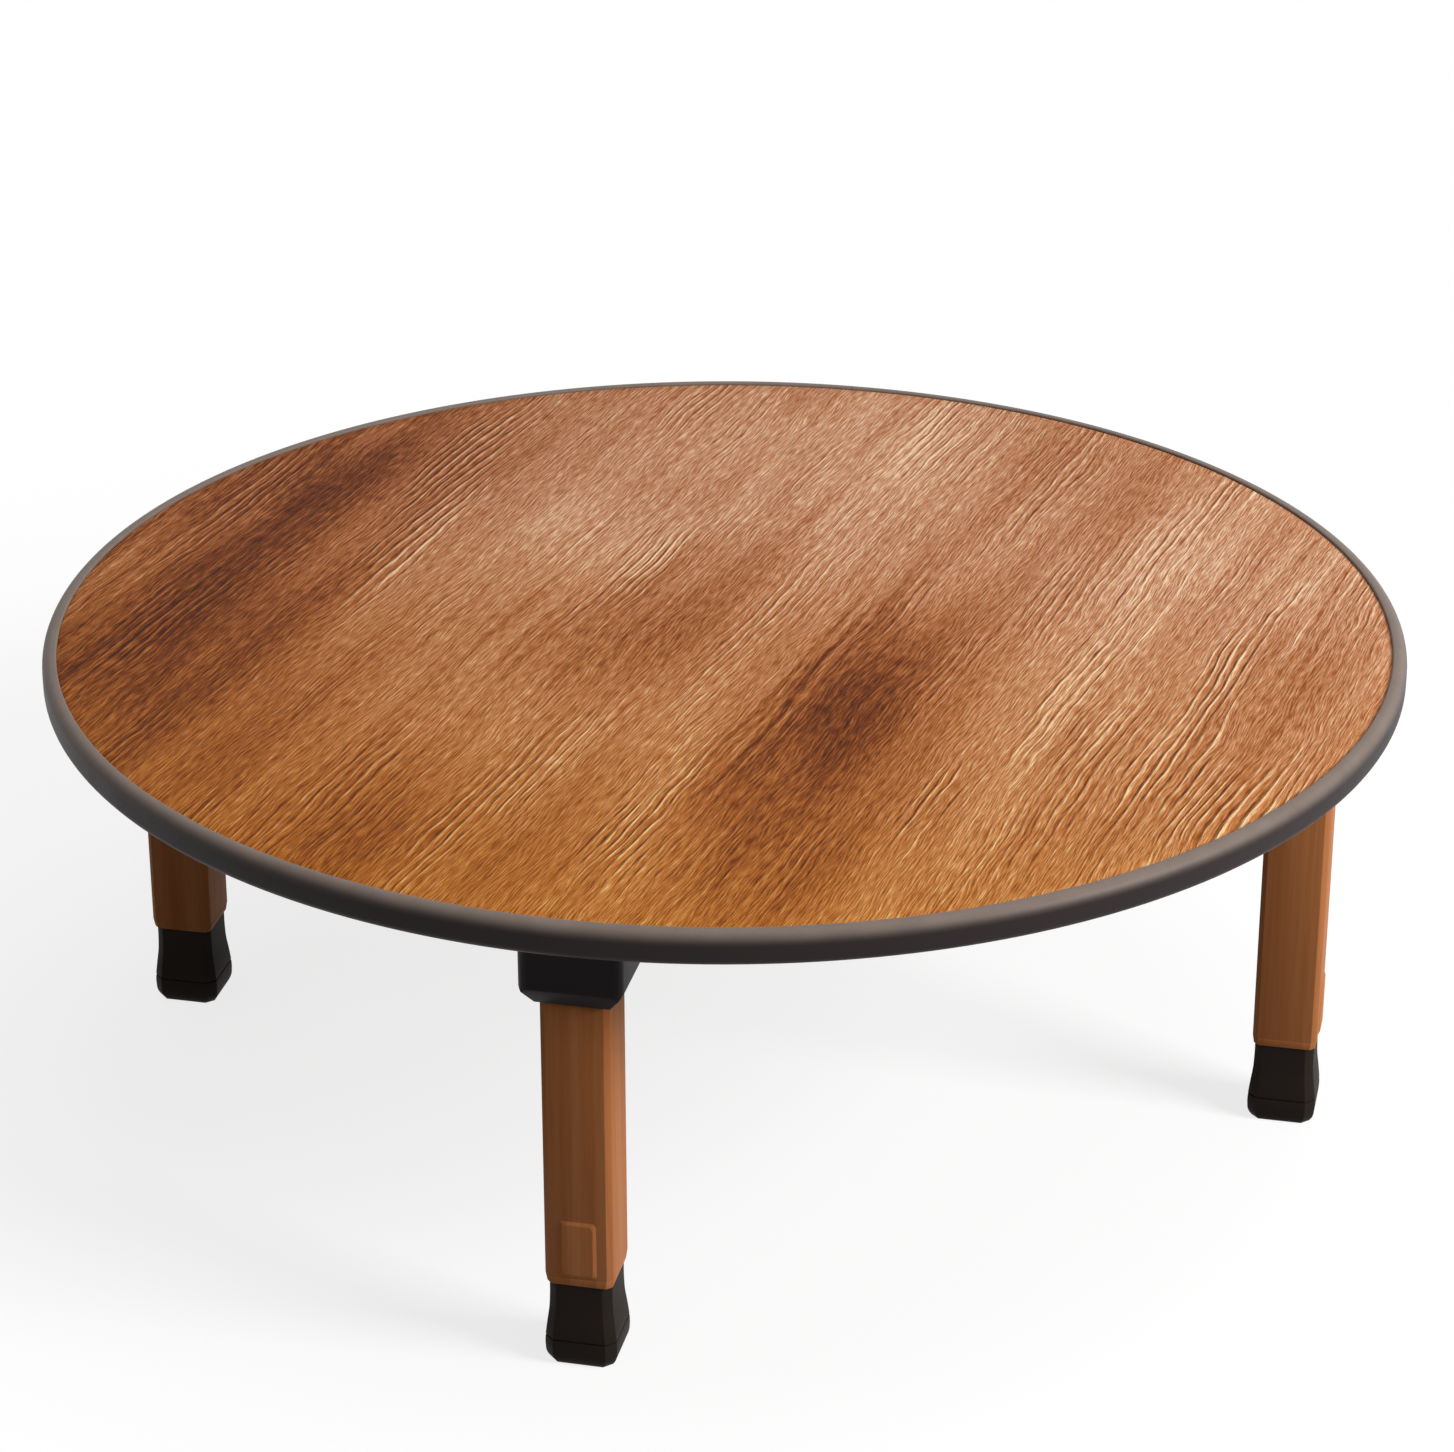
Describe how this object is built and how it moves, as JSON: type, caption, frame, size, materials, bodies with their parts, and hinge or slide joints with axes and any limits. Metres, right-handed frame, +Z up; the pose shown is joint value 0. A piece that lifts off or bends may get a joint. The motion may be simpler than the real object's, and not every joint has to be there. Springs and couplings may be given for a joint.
{
  "type": "folding low table",
  "caption": "Round low table with a wood-faced board in a dark moulded rim, on square legs that lock open and fold flat under the board.",
  "frame": {"origin": "on the floor, under the middle of the board", "axes": "+Z up through the middle of the board; the legs stand on the +X, +Y, -X and -Y axes"},
  "size_m": [0.8, 0.7999, 0.29],
  "materials": {
    "wood_laminate": "embossed orange-brown wood-grain laminate, satin",
    "particle_board": "particle board",
    "backing_paper": "brown balancing sheet, matte",
    "rim_plastic": "dark grey moulded strip, satin",
    "bracket_plastic": "black moulded plastic, satin",
    "button_plastic": "grey moulded plastic",
    "tube_steel": "black powder coat on square steel tube",
    "spring_steel": "spring steel strip",
    "zinc_steel": "bright zinc plate",
    "nylon": "natural nylon",
    "sleeve_wood_tone": "wood-tone moulded sleeve, satin",
    "foot_rubber": "black rubber"
  },
  "bodies": {
    "tabletop": {"core_board": "particle_board", "backing_sheet": "backing_paper", "top_laminate": "wood_laminate", "edge_rim": "rim_plastic", "hinge_bracket_front": "bracket_plastic", "bracket_screws_front": "zinc_steel", "pivot_pin_front": "zinc_steel", "pin_cap_front": "bracket_plastic", "hinge_bracket_right": "bracket_plastic", "bracket_screws_right": "zinc_steel", "pivot_pin_right": "zinc_steel", "pin_cap_right": "bracket_plastic", "hinge_bracket_back": "bracket_plastic", "bracket_screws_back": "zinc_steel", "pivot_pin_back": "zinc_steel", "pin_cap_back": "bracket_plastic", "hinge_bracket_left": "bracket_plastic", "bracket_screws_left": "zinc_steel", "pivot_pin_left": "zinc_steel", "pin_cap_left": "bracket_plastic"},
    "leg_front": {"leg_tube_front": "tube_steel", "pivot_spacer_front": "nylon", "lock_spring_front": "spring_steel", "leg_sleeve_front": "sleeve_wood_tone", "leg_collar_front": "sleeve_wood_tone", "cover_plate_front": "sleeve_wood_tone", "foot_front": "foot_rubber", "foot_screw_front": "zinc_steel"},
    "button_front": {"release_button_front": "button_plastic"},
    "leg_right": {"leg_tube_right": "tube_steel", "pivot_spacer_right": "nylon", "lock_spring_right": "spring_steel", "leg_sleeve_right": "sleeve_wood_tone", "leg_collar_right": "sleeve_wood_tone", "cover_plate_right": "sleeve_wood_tone", "foot_right": "foot_rubber", "foot_screw_right": "zinc_steel"},
    "button_right": {"release_button_right": "button_plastic"},
    "leg_back": {"leg_tube_back": "tube_steel", "pivot_spacer_back": "nylon", "lock_spring_back": "spring_steel", "leg_sleeve_back": "sleeve_wood_tone", "leg_collar_back": "sleeve_wood_tone", "cover_plate_back": "sleeve_wood_tone", "foot_back": "foot_rubber", "foot_screw_back": "zinc_steel"},
    "button_back": {"release_button_back": "button_plastic"},
    "leg_left": {"leg_tube_left": "tube_steel", "pivot_spacer_left": "nylon", "lock_spring_left": "spring_steel", "leg_sleeve_left": "sleeve_wood_tone", "leg_collar_left": "sleeve_wood_tone", "cover_plate_left": "sleeve_wood_tone", "foot_left": "foot_rubber", "foot_screw_left": "zinc_steel"},
    "button_left": {"release_button_left": "button_plastic"}
  },
  "joints": [
    {"name": "fold_front", "type": "hinge", "parent": "tabletop", "child": "leg_front", "pos_m": [0, -0.345, 0.2481], "axis": [1, 0, 0], "range_deg": [0, 90], "deforming": ["lock_spring_front"]},
    {"name": "press_front", "type": "slide", "parent": "tabletop", "child": "button_front", "axis": [1, 0, 0], "range_m": [0, 0.0037], "stiffness_N_per_m": 500, "springref_m": -0.002},
    {"name": "fold_right", "type": "hinge", "parent": "tabletop", "child": "leg_right", "pos_m": [0.345, 0, 0.2481], "axis": [0, 1, 0], "range_deg": [0, 90], "deforming": ["lock_spring_right"]},
    {"name": "press_right", "type": "slide", "parent": "tabletop", "child": "button_right", "axis": [0, 1, 0], "range_m": [0, 0.0037], "stiffness_N_per_m": 500, "springref_m": -0.002},
    {"name": "fold_back", "type": "hinge", "parent": "tabletop", "child": "leg_back", "pos_m": [0, 0.345, 0.2481], "axis": [-1, 0, 0], "range_deg": [0, 90], "deforming": ["lock_spring_back"]},
    {"name": "press_back", "type": "slide", "parent": "tabletop", "child": "button_back", "axis": [-1, 0, 0], "range_m": [0, 0.0037], "stiffness_N_per_m": 500, "springref_m": -0.002},
    {"name": "fold_left", "type": "hinge", "parent": "tabletop", "child": "leg_left", "pos_m": [-0.345, 0, 0.2481], "axis": [0, -1, 0], "range_deg": [0, 90], "deforming": ["lock_spring_left"]},
    {"name": "press_left", "type": "slide", "parent": "tabletop", "child": "button_left", "axis": [0, -1, 0], "range_m": [0, 0.0037], "stiffness_N_per_m": 500, "springref_m": -0.002}
  ]
}
